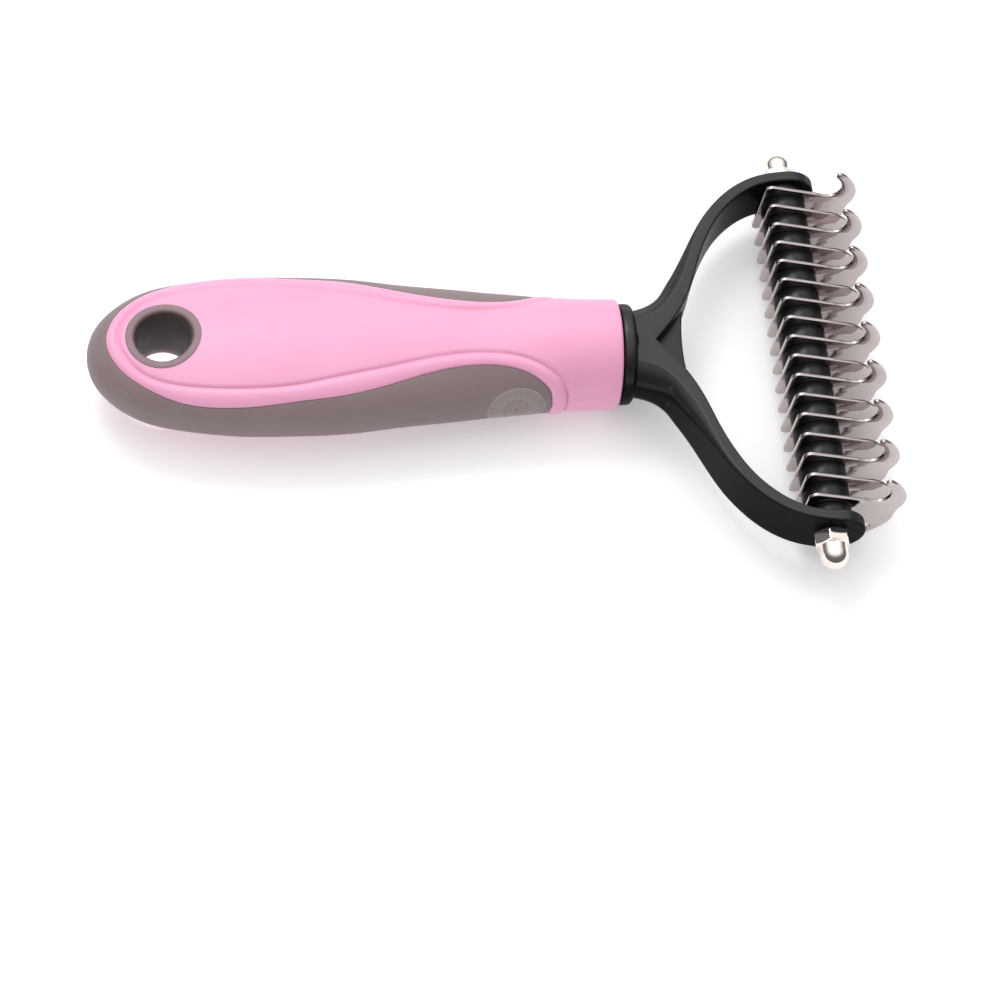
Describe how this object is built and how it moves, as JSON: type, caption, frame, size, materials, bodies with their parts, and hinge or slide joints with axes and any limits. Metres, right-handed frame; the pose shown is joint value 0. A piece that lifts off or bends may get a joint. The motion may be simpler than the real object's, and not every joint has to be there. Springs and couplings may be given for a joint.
{
  "type": "dematting comb",
  "caption": "Double-sided dematting comb: two-colour grip handle with a hanging hole, a Y-shaped fork and a row of hooked steel plates on a tie rod.",
  "frame": {"origin": "centre of the hanging hole, on the handle's long axis", "axes": "+X along the handle towards the comb head, +Y along the tie rod, +Z through the thickness of the handle, along the hanging hole"},
  "size_m": [0.1727, 0.1076, 0.0248],
  "materials": {
    "pink_plastic": "satin moulded polypropylene",
    "grey_rubber": "matt soft-touch overmould",
    "liner_rubber": "matt soft-touch bush",
    "black_nylon": "satin moulded nylon",
    "spacer_plastic": "smooth satin tube",
    "blade_steel": "polished stamped stainless sheet",
    "rod_steel": "drawn bar, threaded ends",
    "nut_plated": "bright nickel plate"
  },
  "bodies": {
    "root": {"handle_core": "pink_plastic", "grip_overmold": "grey_rubber", "hang_hole_liner": "liner_rubber", "fork": "black_nylon", "tie_rod": "rod_steel", "blade_01": "blade_steel", "blade_02": "blade_steel", "blade_03": "blade_steel", "blade_04": "blade_steel", "blade_05": "blade_steel", "blade_06": "blade_steel", "blade_07": "blade_steel", "blade_08": "blade_steel", "blade_09": "blade_steel", "blade_10": "blade_steel", "blade_11": "blade_steel", "blade_12": "blade_steel", "blade_13": "blade_steel", "blade_14": "blade_steel", "blade_15": "blade_steel", "blade_16": "blade_steel", "blade_17": "blade_steel", "spacer_01": "spacer_plastic", "spacer_02": "spacer_plastic", "spacer_03": "spacer_plastic", "spacer_04": "spacer_plastic", "spacer_05": "spacer_plastic", "spacer_06": "spacer_plastic", "spacer_07": "spacer_plastic", "spacer_08": "spacer_plastic", "spacer_09": "spacer_plastic", "spacer_10": "spacer_plastic", "spacer_11": "spacer_plastic", "spacer_12": "spacer_plastic", "spacer_13": "spacer_plastic", "spacer_14": "spacer_plastic", "spacer_15": "spacer_plastic", "spacer_16": "spacer_plastic", "end_spacer_far": "spacer_plastic", "end_spacer_near": "spacer_plastic", "nut_far": "nut_plated", "nut_near": "nut_plated"}
  },
  "joints": []
}
